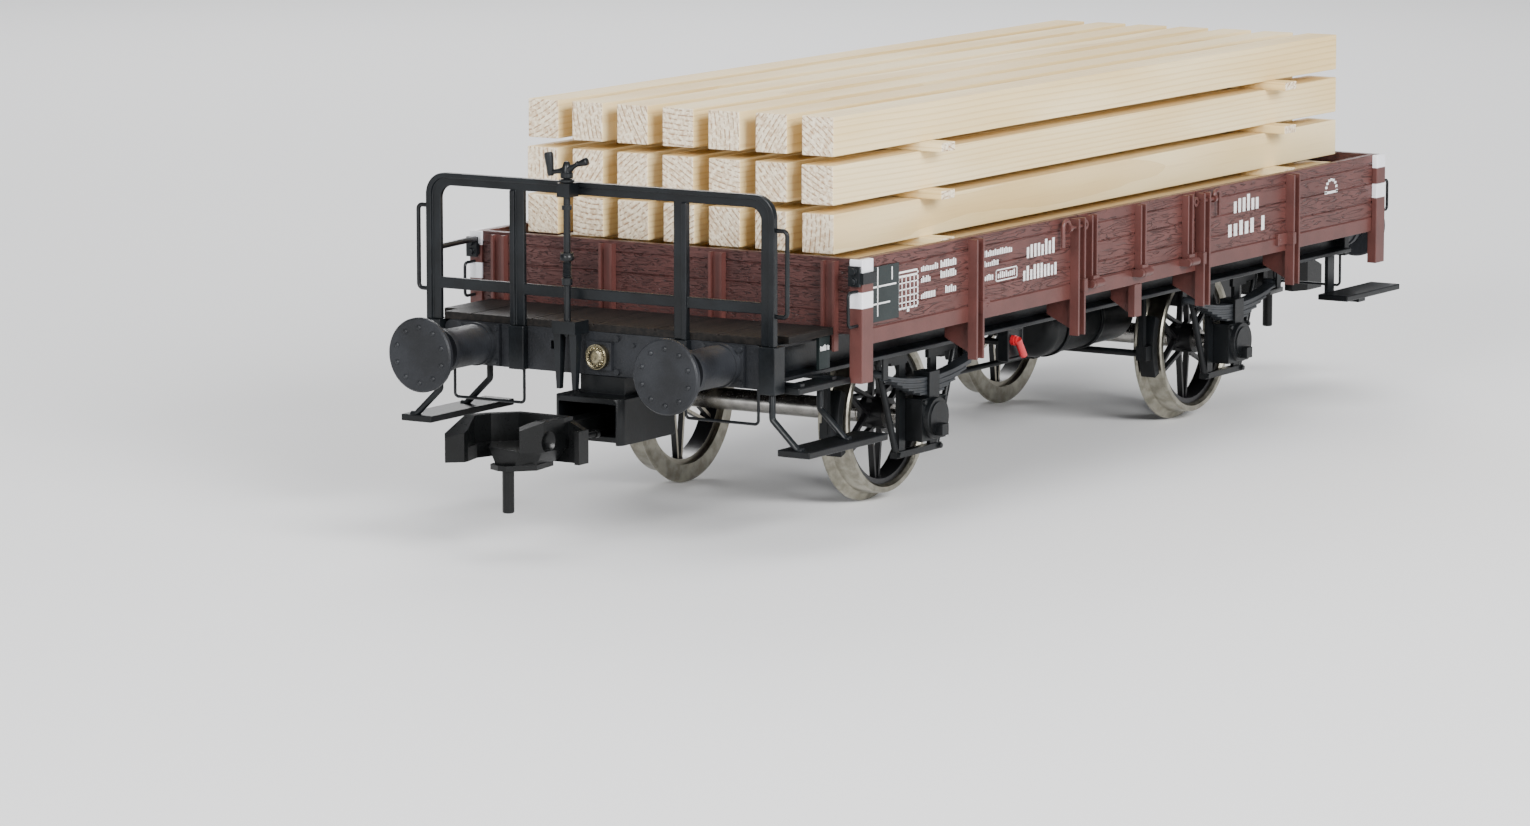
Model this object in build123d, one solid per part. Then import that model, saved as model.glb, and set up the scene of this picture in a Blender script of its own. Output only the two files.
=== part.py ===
from build123d import *
import math
import os

# Model flat car with a brakeman's platform and a timber load, 1:32, for 45 mm gauge track.
# Frame: +X from the platform end to the far end, Y across, +Z up. The origin lies on the
# ground plane under the wheel flanges, at the middle of the length over couplers.
# All sizes are millimetres. Heights are above the lowest point of the wheel flanges.

# ---- driving dimensions -------------------------------------------------------------
GAUGE_BACK = 20.0            # half distance between wheel backs
WHEELBASE = 125.0
WHEEL_MID = 4.9              # middle of the wheelbase, towards the far end
TREAD_R = 15.6
FLANGE_R = 17.2
AXLE_Z = FLANGE_R
AXLES = (WHEEL_MID - WHEELBASE / 2, WHEEL_MID + WHEELBASE / 2)

HEAD_X = 118.6               # outer face of both headstocks
HEAD_Y = 35.4
HEAD_T = 2.0
FRAME_BOTTOM = 31.0          # solebar
FRAME_TOP = 38.2
HEAD_BOTTOM = 30.0

BODY_X0 = -97.8              # outer faces of the corner posts
BODY_X1 = 118.2
BODY_MID = (BODY_X0 + BODY_X1) / 2
WALL_IN = 41.2               # inner and outer faces of the side planks
WALL_OUT = 42.8
SILL_Z0 = 36.0
PLANK_Z0 = 39.2
WALL_TOP = 52.3
FLOOR_Z0 = 39.6
FLOOR_TOP = 41.3
PLANK_JOINTS = (42.3, 46.3, 50.1)
GROOVE_W = 0.3
GROOVE_D = 0.22

POST_X = (-65.6, -26.0, 26.0, 65.6)      # stanchions, from the middle of the body
POST_W = 3.0
POST_OUT = 44.7
POST_Z0 = 28.9
POST_Z1 = 51.9

DOOR_X0 = BODY_MID - 24.3
DOOR_X1 = BODY_MID + 24.3
DOOR_GAP = 0.3
HINGE_Y = 44.6
HINGE_Z = 38.5
STRAP_X = (-20.0, 0.0, 19.8)             # from the middle of the body
STRAP_W = 2.4
KNUCKLE_R = 0.85
PIN_R = 0.35
PIN_PLAY = 0.07

LATCH_Y = 44.0
LATCH_Z = 50.3
LATCH_R = 0.36
LATCH_PLAY = 0.06

RAIL_X = -HEAD_X                         # railing stands on the headstock's face
RAIL_TOP = 66.0
RAIL_MID = (44.1, 46.2)
RAIL_OUTER = (35.5, 38.6)
RAIL_INNER = (16.6, 19.6)

BUFFER_Y = 27.1
BUFFER_Z = 34.2
BUFFER_R = 7.0
BUFFER_FACE = 138.8
BUFFER_TRAVEL = 3.0

COUPLER_PIVOT = 112.0
COUPLER_Z = 21.6

BEAM_W = 6.9
BEAM_H = 7.4
BEAM_PITCH = 10.25
STRIP_T = 1.7
BEAM_X0 = -92.4
BEAM_X1 = 114.0
LAYERS = 4

os.makedirs("parts", exist_ok=True)


# ---- helpers -------------------------------------------------------------------------
def block(x, y, z):
    """Box between the two values given for each axis."""
    x0, x1 = min(x), max(x)
    y0, y1 = min(y), max(y)
    z0, z1 = min(z), max(z)
    return Pos((x0 + x1) / 2, (y0 + y1) / 2, (z0 + z1) / 2) * Box(x1 - x0, y1 - y0, z1 - z0)


def rod(start, end, radius):
    """Round bar between two points."""
    a = Vector(*start)
    b = Vector(*end)
    plane = Plane(origin=a, z_dir=(b - a).normalized())
    return plane * Cylinder(radius, (b - a).length, align=(Align.CENTER, Align.CENTER, Align.MIN))


def disc(center, axis, radius, thickness):
    """Short cylinder that starts at center and grows along axis."""
    plane = Plane(origin=Vector(*center), z_dir=Vector(*axis))
    return plane * Cylinder(radius, thickness, align=(Align.CENTER, Align.CENTER, Align.MIN))


def wire(points, radius, bend):
    """Bent round wire along straight runs joined by arcs."""
    path = FilletPolyline(*points, radius=bend)
    start = Plane(origin=path @ 0, z_dir=path % 0)
    return sweep(start * Circle(radius), path=path)


def plate_xz(outline, y):
    """Plate in an XZ plane, between the two values of y."""
    y0, y1 = min(y), max(y)
    face = Plane(origin=(0, y1, 0), x_dir=(1, 0, 0), z_dir=(0, -1, 0)) * outline
    return extrude(face, y1 - y0, dir=(0, -1, 0))


def plate_yz(outline, x):
    """Plate in a YZ plane, between the two values of x."""
    x0, x1 = min(x), max(x)
    face = Plane(origin=(x0, 0, 0), x_dir=(0, 1, 0), z_dir=(1, 0, 0)) * outline
    return extrude(face, x1 - x0, dir=(1, 0, 0))


def polygon(*points):
    return make_face(Polyline(*points, close=True))


def flip_y(shape):
    return mirror(shape, about=Plane.XZ)


def turn_end(shape):
    """Half turn about Z: the same piece at the other end of the car."""
    return Rot(0, 0, 180) * shape


def both_sides(shapes):
    return shapes + [flip_y(s) for s in shapes]


def save(name, shapes):
    """Write one node: a single solid, or a group of separate solids."""
    solids = []
    for shape in shapes:
        solids.extend(shape.solids())
    node = solids[0] if len(solids) == 1 else Compound(children=solids)
    node.label = name
    export_step(node, "parts/" + name + ".step")


# ---- wheelsets -----------------------------------------------------------------------
TYRE_IN = 13.7
TYRE_OUTER_FACE = 25.7
FLANGE_T = 1.4
HUB_R = 3.0
SPOKE_PAIRS = 6
AXLE_R = 1.9
JOURNAL_R = 1.0
JOURNAL_END = 34.2


def wheel_tyre(x):
    """Tyre on the +Y side: coned tread, rounded flange, open centre."""
    y0 = GAUGE_BACK
    y1 = GAUGE_BACK + FLANGE_T
    profile = polygon(
        (TYRE_IN, y0), (FLANGE_R - 0.5, y0), (FLANGE_R - 0.1, y0 + 0.25), (FLANGE_R, y0 + 0.6),
        (FLANGE_R - 0.2, y0 + 1.0), (TREAD_R + 0.3, y1 + 0.05), (TREAD_R, y1 + 0.45),
        (TREAD_R - 0.25, TYRE_OUTER_FACE - 0.3), (TREAD_R - 0.5, TYRE_OUTER_FACE),
        (TYRE_IN + 0.5, TYRE_OUTER_FACE), (TYRE_IN, TYRE_OUTER_FACE - 0.6))
    ring = revolve(profile, axis=Axis.Y)
    return Pos(x, 0, AXLE_Z) * ring


def wheel_centre(x):
    """Hub, paired spokes and inner rim, pressed into the tyre."""
    y_in = GAUGE_BACK + 1.0
    rim_r = TYRE_IN - 1.0
    inner_rim = disc((0, y_in, 0), (0, 1, 0), TYRE_IN, 3.6) - disc((0, y_in, 0), (0, 1, 0), rim_r, 3.6)
    hub = disc((0, y_in - 0.6, 0), (0, 1, 0), HUB_R, 5.4)
    body = inner_rim + hub
    for pair in range(SPOKE_PAIRS):
        angle = 360 / SPOKE_PAIRS * pair
        for side in (-1, 1):
            lean = math.degrees(math.atan2(side * 1.5, rim_r))
            spoke = Box(0.62, 1.2, rim_r - HUB_R + 1.9)
            spoke = Pos(side * 1.15, 0, (HUB_R + rim_r) / 2) * Rot(0, -lean, 0) * spoke
            body = body + Rot(0, angle, 0) * (Pos(0, y_in + 1.6, 0) * spoke)
    keep = disc((0, y_in - 1, 0), (0, 1, 0), TYRE_IN, 8)
    body = body & keep
    body = body - disc((0, y_in - 1, 0), (0, 1, 0), AXLE_R, 8)
    return Pos(x, 0, AXLE_Z) * body


def axle(x):
    shaft = rod((x, -26.8, AXLE_Z), (x, 26.8, AXLE_Z), AXLE_R)
    collar = rod((x, -19.4, AXLE_Z), (x, 19.4, AXLE_Z), AXLE_R + 0.25)
    journal = rod((x, -JOURNAL_END, AXLE_Z), (x, JOURNAL_END, AXLE_Z), JOURNAL_R)
    return shaft + journal + collar


for name, x in zip(("front", "rear"), AXLES):
    save("axle_" + name, [axle(x)])
    save("tyres_" + name, both_sides([wheel_tyre(x)]))
    save("wheel_centres_" + name, both_sides([wheel_centre(x)]))

# ---- underframe ----------------------------------------------------------------------
SOLE_WEB = (32.2, 33.2)
SOLE_OUT = 37.0
SOLE_T = 0.8


def headstock():
    plate = block((-HEAD_X, -HEAD_X + HEAD_T), (-HEAD_Y, HEAD_Y), (HEAD_BOTTOM, FRAME_TOP))
    plate = fillet(plate.edges().filter_by(Axis.X).group_by(Axis.Z)[-1], 1.6)
    hole = block((-HEAD_X, -HEAD_X + HEAD_T), (9.7, 11.3), (34.2, 35.8))
    return plate - hole


def solebar():
    x = (-HEAD_X + HEAD_T, HEAD_X - HEAD_T)
    web = block(x, SOLE_WEB, (FRAME_BOTTOM, FRAME_TOP))
    low = block(x, (SOLE_WEB[0], SOLE_OUT), (FRAME_BOTTOM, FRAME_BOTTOM + SOLE_T))
    top = block(x, (SOLE_WEB[0], SOLE_OUT), (FRAME_TOP - SOLE_T, FRAME_TOP))
    rib_notch = block((BODY_X0 - 1.1, BODY_X0 + 0.6), (35.4, SOLE_OUT), (FRAME_TOP - SOLE_T, FRAME_TOP))
    return web + low + top - rib_notch


save("headstocks", [headstock(), turn_end(headstock())])
save("solebars", both_sides([solebar()]))

CROSS_BEAMS = (-109.0, -95.0, -36.0, -10.0, 10.0, 30.0, 44.0, 92.0, 109.0)
beams = []
for x in CROSS_BEAMS:
    web = block((x - 0.5, x + 0.5), (-SOLE_WEB[0], SOLE_WEB[0]), (32.0, FRAME_TOP))
    flange = block((x - 1.8, x + 1.8), (-SOLE_WEB[0], SOLE_WEB[0]), (32.0, 32.8))
    beams.append(web + flange)
save("cross_beams", beams)

# ---- floor, platform deck and walls --------------------------------------------------
INNER_X0 = BODY_X0 + 0.6
INNER_X1 = BODY_X1 - 0.6
END_WALL_T = 1.5


def grooved(wall, y_faces, x, joints):
    """Cut plank joints into the outer and inner face of a wall that runs along X."""
    for z in joints:
        for y in y_faces:
            wall = wall - block(x, (y - GROOVE_D, y + GROOVE_D), (z - GROOVE_W / 2, z + GROOVE_W / 2))
    return wall


def plank_wall(x0, x1):
    wall = block((x0, x1), (WALL_IN, WALL_OUT), (PLANK_Z0, WALL_TOP))
    return grooved(wall, (WALL_IN, WALL_OUT), (x0 - 1, x1 + 1), PLANK_JOINTS)


floor_bearers = []
for i in range(13):
    x = INNER_X0 + 2.8 + i * (INNER_X1 - INNER_X0 - 5.6) / 12
    floor_bearers.append(block((x - 1.2, x + 1.2), (-WALL_IN, WALL_IN), (FRAME_TOP, FLOOR_Z0)))
save("floor_bearers", floor_bearers)

floor = block((INNER_X0 + END_WALL_T, INNER_X1 - END_WALL_T), (-WALL_IN, WALL_IN), (FLOOR_Z0, FLOOR_TOP))
plank_pitch = 6.6
count = int((INNER_X1 - INNER_X0) / plank_pitch)
for i in range(1, count):
    x = INNER_X0 + END_WALL_T + i * plank_pitch
    floor = floor - block((x - 0.12, x + 0.12), (-WALL_IN, WALL_IN), (FLOOR_TOP - 0.25, FLOOR_TOP))
save("wagon_floor", [floor])

DECK_Y = 38.4
DECK_JOINTS = (-25.6, -11.8, 1.8, 15.5, 29.2)
DECK_X1 = BODY_X0 - 1.1
deck = block((-HEAD_X, DECK_X1), (-DECK_Y, DECK_Y), (FRAME_TOP, FLOOR_Z0))
for y in DECK_JOINTS:
    deck = deck - block((-HEAD_X, DECK_X1), (y - 0.15, y + 0.15), (FLOOR_Z0 - 0.3, FLOOR_Z0))
for side in (-1, 1):
    socket = block((-HEAD_X - 1, -HEAD_X + 4.2), (side * 35.4, side * 40), (FRAME_TOP - 1, FLOOR_Z0 + 1))
    deck = deck - socket
save("platform_deck", [deck])

sill = block((INNER_X0, INNER_X1), (WALL_IN, WALL_OUT), (SILL_Z0, PLANK_Z0))
sill = sill - block((INNER_X0, INNER_X1), (WALL_OUT - GROOVE_D, WALL_OUT), (PLANK_Z0 - 0.25, PLANK_Z0))
save("side_sills", both_sides([sill]))

front_boards = plank_wall(INNER_X0, DOOR_X0 - DOOR_GAP)
rear_boards = plank_wall(DOOR_X1 + DOOR_GAP, INNER_X1)
save("side_boards", both_sides([front_boards, rear_boards]))


def end_wall(outer, inner):
    wall = block((outer, inner), (-WALL_IN, WALL_IN), (FRAME_TOP, WALL_TOP))
    for z in PLANK_JOINTS:
        joint = (z - GROOVE_W / 2, z + GROOVE_W / 2)
        for x in (outer, inner):
            wall = wall - block((x - GROOVE_D, x + GROOVE_D), (-WALL_IN, WALL_IN), joint)
    return wall


save("end_walls", [end_wall(INNER_X0, INNER_X0 + END_WALL_T), end_wall(INNER_X1, INNER_X1 - END_WALL_T)])


def end_rib(y, low):
    """Rolled channel on the platform-side end wall, open outwards."""
    x = INNER_X0
    z = (low, WALL_TOP - 0.5)
    base = block((x - 0.5, x), (y - 1.5, y + 1.5), z)
    for side in (-1, 1):
        base = base + block((x - 1.5, x), (y + side * 1.5, y + side * 0.95), z)
    return base


RIB_Y = (12.3, 37.0)
to_rear = Pos(INNER_X0 + INNER_X1, 0, 0)
front_ribs = [end_rib(RIB_Y[0], FRAME_TOP), end_rib(RIB_Y[1], 35.0)]
rear_ribs = [to_rear * turn_end(flip_y(end_rib(y, FRAME_TOP))) for y in RIB_Y]
end_ribs = both_sides(front_ribs + rear_ribs)


def corner_post(x_outer, direction):
    """Corner angle on the +Y side; direction points from the outer face into the body."""
    x1 = x_outer + direction * 4.0
    xf = x_outer + direction * 0.6
    z = (29.2, WALL_TOP)
    post = block((x_outer, x1), (WALL_OUT, 44.0), z)
    post = post + block((x_outer, xf), (WALL_IN, WALL_OUT), z)
    post = post + block((x_outer, x1), (WALL_OUT - 0.9, WALL_OUT), (29.2, SILL_Z0))
    return post


save("corner_posts", both_sides([corner_post(BODY_X0, 1), corner_post(BODY_X1, -1)]))


def stanchion(x, latch):
    """Rolled channel post on the side wall, open outwards, with bores for a latch shaft."""
    z = (POST_Z0, POST_Z1)
    post = block((x - POST_W / 2, x + POST_W / 2), (WALL_OUT, WALL_OUT + 0.5), z)
    for side in (-1, 1):
        edge = x + side * POST_W / 2
        post = post + block((edge, edge - side * 0.6), (WALL_OUT, POST_OUT), z)
    if latch:
        post = post - rod((x - 3, LATCH_Y, LATCH_Z), (x + 3, LATCH_Y, LATCH_Z), LATCH_R + LATCH_PLAY)
    return post


stanchions = [stanchion(BODY_MID + x, abs(x) < 30) for x in POST_X]
centre_bar = block((BODY_MID - 1.45, BODY_MID + 1.45), (41.6, 43.0), (29.5, SILL_Z0))
save("stanchions", both_sides(stanchions + [centre_bar]) + end_ribs)


def gusset(x, inner_face):
    outline = polygon((SOLE_OUT, SILL_Z0), (SOLE_OUT, 32.6), (inner_face, 29.8), (inner_face, SILL_Z0))
    return plate_yz(outline, (x - 0.5, x + 0.5))


gussets = [gusset(BODY_MID + x, WALL_OUT) for x in POST_X] + [gusset(BODY_MID, 41.6)]
save("post_gussets", both_sides(gussets))

clips = [block((BODY_MID + x + 1.5, BODY_MID + x + 3.4), (WALL_OUT, 44.2), (37.3, 39.1)) for x in POST_X]

# ---- drop sides, hinges and latches --------------------------------------------------
LUG_T = 0.9
LUG_R = 0.8


def drop_side():
    boards = plank_wall(DOOR_X0, DOOR_X1)
    trim = block((DOOR_X0 - 1, DOOR_X1 + 1), (WALL_IN - 1, WALL_OUT + 1), (PLANK_Z0 - 1, PLANK_Z0 + 0.15))
    return boards - trim


def strap(x):
    """Hinge strap with its knuckle and bore."""
    x0 = x - STRAP_W / 2
    x1 = x + STRAP_W / 2
    z = (PLANK_Z0 + 0.4, WALL_TOP - 0.3)
    body = block((x0, x1), (WALL_OUT, WALL_OUT + 0.5), z)
    for edge, side in ((x0, 1), (x1, -1)):
        body = body + block((edge, edge + side * 0.5), (WALL_OUT, 44.2), z)
    body = body + block((x0, x1), (WALL_OUT + 0.15, HINGE_Y), (HINGE_Z, PLANK_Z0 + 0.8))
    body = body + rod((x0, HINGE_Y, HINGE_Z), (x1, HINGE_Y, HINGE_Z), KNUCKLE_R)
    return body - rod((x0 - 1, HINGE_Y, HINGE_Z), (x1 + 1, HINGE_Y, HINGE_Z), PIN_R + PIN_PLAY)


def keeper(x):
    """Eye on the drop side beside each latch."""
    eye = disc((x, WALL_OUT, LATCH_Z), (0, 1, 0), 1.0, 1.0)
    return eye - disc((x, WALL_OUT, LATCH_Z), (0, 1, 0), 0.45, 1.0)


def lug(x0, x1):
    eye = rod((x0, HINGE_Y, HINGE_Z), (x1, HINGE_Y, HINGE_Z), LUG_R)
    eye = eye + block((x0, x1), (WALL_OUT, HINGE_Y), (HINGE_Z - LUG_R, HINGE_Z + 0.65))
    return eye - rod((x0 - 1, HINGE_Y, HINGE_Z), (x1 + 1, HINGE_Y, HINGE_Z), PIN_R)


straps = [strap(BODY_MID + x) for x in STRAP_X]
keepers = [keeper(DOOR_X0 + 1.4), keeper(DOOR_X1 - 1.4)]
lugs = []
pins = []
for x in STRAP_X:
    left = BODY_MID + x - STRAP_W / 2 - 0.1
    right = BODY_MID + x + STRAP_W / 2 + 0.1
    lugs.append(lug(left - LUG_T, left))
    lugs.append(lug(right, right + LUG_T))
    pins.append(rod((left - LUG_T, HINGE_Y, HINGE_Z), (right + LUG_T, HINGE_Y, HINGE_Z), PIN_R))
save("hinge_lugs", both_sides(lugs + clips))
save("hinge_pins", both_sides(pins))

for name, place in (("left", lambda s: s), ("right", flip_y)):
    save("drop_side_" + name, [place(drop_side())])
    save("drop_side_straps_" + name, [place(s) for s in straps + keepers])


def latch(post_x, direction):
    """Cane-shaped latch handle on its shaft; direction points away from the door."""
    start = post_x - direction * (POST_W / 2 - 0.05)
    hub = post_x + direction * 4.0
    shaft = rod((start, LATCH_Y, LATCH_Z), (hub, LATCH_Y, LATCH_Z), LATCH_R)
    boss = rod((hub - direction * 0.4, LATCH_Y, LATCH_Z), (hub + direction * 0.5, LATCH_Y, LATCH_Z), 0.75)
    far = hub + direction * 2.4
    cane = wire([(hub, LATCH_Y, LATCH_Z), (hub, LATCH_Y, LATCH_Z + 1.55), (far, LATCH_Y, LATCH_Z + 1.55),
                 (far, LATCH_Y, LATCH_Z - 3.6)], 0.4, 1.1)
    return shaft + boss + cane


latch_front = latch(BODY_MID + POST_X[1], -1)
latch_rear = latch(BODY_MID + POST_X[2], 1)
for end, shape in (("front", latch_front), ("rear", latch_rear)):
    save("latch_" + end + "_left", [shape])
    save("latch_" + end + "_right", [flip_y(shape)])

# ---- platform railing, handles and brackets ------------------------------------------
RAIL_T = 0.9
RIDGE_T = 0.5
POST_FOOT = FRAME_TOP


def frame_outline(y_out, top, radius):
    """Upright rectangle with rounded upper corners, open downwards, as a face."""
    low = POST_FOOT
    return make_face(
        Line((-y_out, low), (-y_out, top - radius))
        + RadiusArc((-y_out, top - radius), (-y_out + radius, top), radius)
        + Line((-y_out + radius, top), (y_out - radius, top))
        + RadiusArc((y_out - radius, top), (y_out, top - radius), radius)
        + Line((y_out, top - radius), (y_out, low))
        + Line((y_out, low), (-y_out, low)))


def railing():
    outer = frame_outline(RAIL_OUTER[1], RAIL_TOP, 4.2)
    inner = frame_outline(RAIL_OUTER[0], RAIL_TOP - 2.4, 2.4)
    ridge_inner = frame_outline(RAIL_OUTER[1] - 1.2, RAIL_TOP - 0.9, 3.2)
    body = plate_yz(outer, (RAIL_X - RAIL_T, RAIL_X)) - plate_yz(inner, (RAIL_X - 2, RAIL_X + 1))
    body = body + (plate_yz(outer, (RAIL_X - RAIL_T - RIDGE_T, RAIL_X - RAIL_T))
                   - plate_yz(ridge_inner, (RAIL_X - 4, RAIL_X + 1)))
    x = (RAIL_X - RAIL_T, RAIL_X)
    body = body + block(x, (-RAIL_OUTER[0], RAIL_OUTER[0]), RAIL_MID)
    for side in (-1, 1):
        body = body + block(x, (side * RAIL_INNER[0], side * RAIL_INNER[1]), (POST_FOOT, RAIL_TOP - 2.4))
        edge = side * RAIL_INNER[1]
        ridge_x = (RAIL_X - RAIL_T - RIDGE_T, RAIL_X)
        body = body + block(ridge_x, (edge, edge - side * 1.1), (POST_FOOT, RAIL_TOP - 2.4))
    return body


outer_socket = block((RAIL_X - 1.6, RAIL_X + HEAD_T), (HEAD_Y, 38.9), (HEAD_BOTTOM - 0.6, POST_FOOT))
inner_socket = block((RAIL_X - 1.6, RAIL_X), (16.4, 19.8), (HEAD_BOTTOM, POST_FOOT))
save("railing", [railing()] + both_sides([outer_socket, inner_socket]))

GRAB_Y = 40.9
GRAB_X = RAIL_X - RAIL_T / 2
grab = wire([(GRAB_X, RAIL_OUTER[1], 59.6), (GRAB_X, GRAB_Y, 59.6), (GRAB_X, GRAB_Y, 43.8),
             (GRAB_X, RAIL_OUTER[1], 43.8)], 0.42, 0.9)

SHUNT_Z = 23.4
SHUNT_X = -HEAD_X + HEAD_T / 2
shunt = wire([(SHUNT_X, 18.0, HEAD_BOTTOM), (SHUNT_X, 18.0, SHUNT_Z), (SHUNT_X, 33.8, SHUNT_Z),
              (SHUNT_X, 33.8, HEAD_BOTTOM)], 0.28, 0.8)


def corner_handle(x_face, direction):
    """Wire handle on the end face of a corner post; direction points out of the body."""
    x_out = x_face + direction * 3.2
    y = 42.9
    return wire([(x_face, y, 46.4), (x_out, y, 46.4), (x_out, y, 40.0), (x_face, y, 40.0)], 0.3, 0.8)


corner_wires = [corner_handle(BODY_X0, -1), corner_handle(BODY_X1, 1)]
save("wire_handles", both_sides([grab, shunt, turn_end(flip_y(shunt))] + corner_wires))


def corner_bracket():
    """Bolted clamp round a platform-side corner post."""
    band = block((BODY_X0 - 0.5, BODY_X0 + 4.5), (44.0, 44.5), (47.8, 49.9))
    band = band + block((BODY_X0 - 0.5, BODY_X0), (41.6, 44.0), (47.8, 49.9))
    pad = block((BODY_X0 - 1.2, BODY_X0 - 0.5), (41.6, 44.0), (47.4, 51.2))
    body = band + pad
    for z in (48.4, 50.2):
        body = body + disc((BODY_X0 - 1.2, 42.8, z), (-1, 0, 0), 0.65, 0.7)
    return body


side_bar = rod((RAIL_X, 37.2, 51.6), (BODY_X0 - 1.2, 41.9, 50.9), 0.55)
side_bar = side_bar - block((RAIL_X - 3, RAIL_X), (35, 40), (49, 54))
side_bar = side_bar - block((BODY_X0 - 1.2, BODY_X0 + 3), (40, 45), (47, 54))
side_bar = side_bar - disc((BODY_X0 - 1.2, 42.8, 50.2), (-1, 0, 0), 0.7, 0.8)
save("corner_brackets", both_sides([corner_bracket()]) + [side_bar])

# ---- hand brake ----------------------------------------------------------------------
SPINDLE_Y = 5.4
SPINDLE_X = RAIL_X - 3.2
SPINDLE_R = 0.65
SPINDLE_PLAY = 0.06


def spindle():
    shaft = rod((SPINDLE_X, SPINDLE_Y, 37.4), (SPINDLE_X, SPINDLE_Y, 68.0), SPINDLE_R)
    for z, radius, height in ((51.6, 1.2, 1.4), (47.0, 0.95, 1.3), (61.0, 0.95, 0.8)):
        shaft = shaft + disc((SPINDLE_X, SPINDLE_Y, z), (0, 0, 1), radius, height)
    return shaft


def crank():
    """Two-armed crank: an upright grip on one arm and a leaning grip on the other."""
    hub = disc((SPINDLE_X, SPINDLE_Y, 67.0), (0, 0, 1), 1.3, 2.2)
    hub = hub - disc((SPINDLE_X, SPINDLE_Y, 66.0), (0, 0, 1), SPINDLE_R, 2.0)
    left = (SPINDLE_X, SPINDLE_Y + 3.3, 67.6)
    right = (SPINDLE_X, SPINDLE_Y - 2.8, 69.9)
    body = hub + rod((SPINDLE_X, SPINDLE_Y + 0.9, 68.2), left, 0.55)
    body = body + rod(left, (SPINDLE_X, SPINDLE_Y + 3.9, 71.6), 0.8)
    body = body + rod((SPINDLE_X, SPINDLE_Y - 0.9, 68.4), right, 0.55)
    body = body + rod(right, (SPINDLE_X, SPINDLE_Y - 4.2, 70.3), 0.85)
    return body


save("brake_spindle", [spindle()])
save("brake_crank", [crank()])


def spindle_clamp(z0, z1):
    """Bearing on the railing, bored for the spindle."""
    y = (SPINDLE_Y - 1.4, SPINDLE_Y + 1.4)
    arm = block((SPINDLE_X - 1.3, RAIL_X - RAIL_T - RIDGE_T), y, (z0, z1))
    arm = arm + block((RAIL_X - RAIL_T - RIDGE_T, RAIL_X - RAIL_T), y, (z0 + 0.3, z1 - 1.0))
    return arm - disc((SPINDLE_X, SPINDLE_Y, z0), (0, 0, 1), SPINDLE_R + SPINDLE_PLAY, z1 - z0)


def spindle_foot():
    """Crosshead bearing on the headstock with two tapered guide prongs."""
    head = block((SPINDLE_X - 1.4, RAIL_X), (SPINDLE_Y - 2.6, SPINDLE_Y + 2.6), (37.9, 40.3))
    head = head - disc((SPINDLE_X, SPINDLE_Y, 37.9), (0, 0, 1), SPINDLE_R + SPINDLE_PLAY, 2.4)
    for side in (-1, 1):
        root = Plane(origin=(SPINDLE_X, SPINDLE_Y + side * 1.75, 37.9), z_dir=(0, 0, -1))
        head = head + extrude(root * Rectangle(1.9, 1.6), 10.4, taper=2.2)
    return head


save("spindle_bearings", [spindle_clamp(63.4, 66.0), spindle_foot()])

# ---- headstock fittings --------------------------------------------------------------
socket_plate = block((-HEAD_X - 0.8, -HEAD_X), (-2.7, 2.7), (31.2, 36.4))
socket_plate = socket_plate - disc((-HEAD_X - 0.8, 0, 33.7), (1, 0, 0), 2.35, 0.8)
screw = disc((-HEAD_X, 0, 33.7), (-1, 0, 0), 2.35, 1.9)
screw = screw - block((-HEAD_X - 2.2, -HEAD_X - 1.5), (-0.3, 0.3), (31.9, 35.5))
save("drawbar_screw", [screw])

bolts = [disc((-HEAD_X, -3.6, z), (-1, 0, 0), 0.55, 0.5) for z in (30.9, 37.2)]
bolts.append(disc((-HEAD_X, -7.2, 36.2), (-1, 0, 0), 0.4, 0.4))
save("headstock_fittings", [socket_plate] + bolts + [turn_end(b) for b in bolts])

# ---- buffers -------------------------------------------------------------------------
HOUSING_R = 3.8
PLUNGER_R = 2.5
PLUNGER_PLAY = 0.06
HOUSING_END = 132.4


def buffer_housing():
    x = -HEAD_X
    plate = block((x - 1.0, x), (BUFFER_Y - 4.7, BUFFER_Y + 4.7), (BUFFER_Z - 4.0, BUFFER_Z + 3.9))
    barrel = rod((x - 0.9, BUFFER_Y, BUFFER_Z), (-HOUSING_END, BUFFER_Y, BUFFER_Z), HOUSING_R)
    ring = rod((-HOUSING_END + 1.6, BUFFER_Y, BUFFER_Z), (-HOUSING_END, BUFFER_Y, BUFFER_Z), HOUSING_R + 0.35)
    foot = rod((x - 1.0, BUFFER_Y, BUFFER_Z), (x - 2.2, BUFFER_Y, BUFFER_Z), HOUSING_R + 0.3)
    body = plate + barrel + ring + foot
    for dy in (-4.0, 4.0):
        for dz in (-3.2, 3.1):
            body = body + disc((x - 1.0, BUFFER_Y + dy, BUFFER_Z + dz), (-1, 0, 0), 0.5, 0.5)
    bore_r = PLUNGER_R + PLUNGER_PLAY
    return body - rod((-HOUSING_END, BUFFER_Y, BUFFER_Z), (-HEAD_X - 2.0, BUFFER_Y, BUFFER_Z), bore_r)


def buffer_head():
    face = disc((-BUFFER_FACE, BUFFER_Y, BUFFER_Z), (1, 0, 0), BUFFER_R, 1.3)
    face = chamfer(face.edges().filter_by(GeomType.CIRCLE), 0.3)
    back = (-BUFFER_FACE + 1.2, BUFFER_Y, BUFFER_Z)
    neck = rod(back, (-BUFFER_FACE + 2.6, BUFFER_Y, BUFFER_Z), PLUNGER_R + 0.8)
    stem = rod(back, (-124.2, BUFFER_Y, BUFFER_Z), PLUNGER_R)
    return face + neck + stem


housing = buffer_housing()
head = buffer_head()
save("buffer_housings", both_sides([housing, turn_end(flip_y(housing))]))
save("buffer_head_front_left", [head])
save("buffer_head_front_right", [flip_y(head)])
save("buffer_head_rear_left", [turn_end(flip_y(head))])
save("buffer_head_rear_right", [turn_end(head)])

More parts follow.
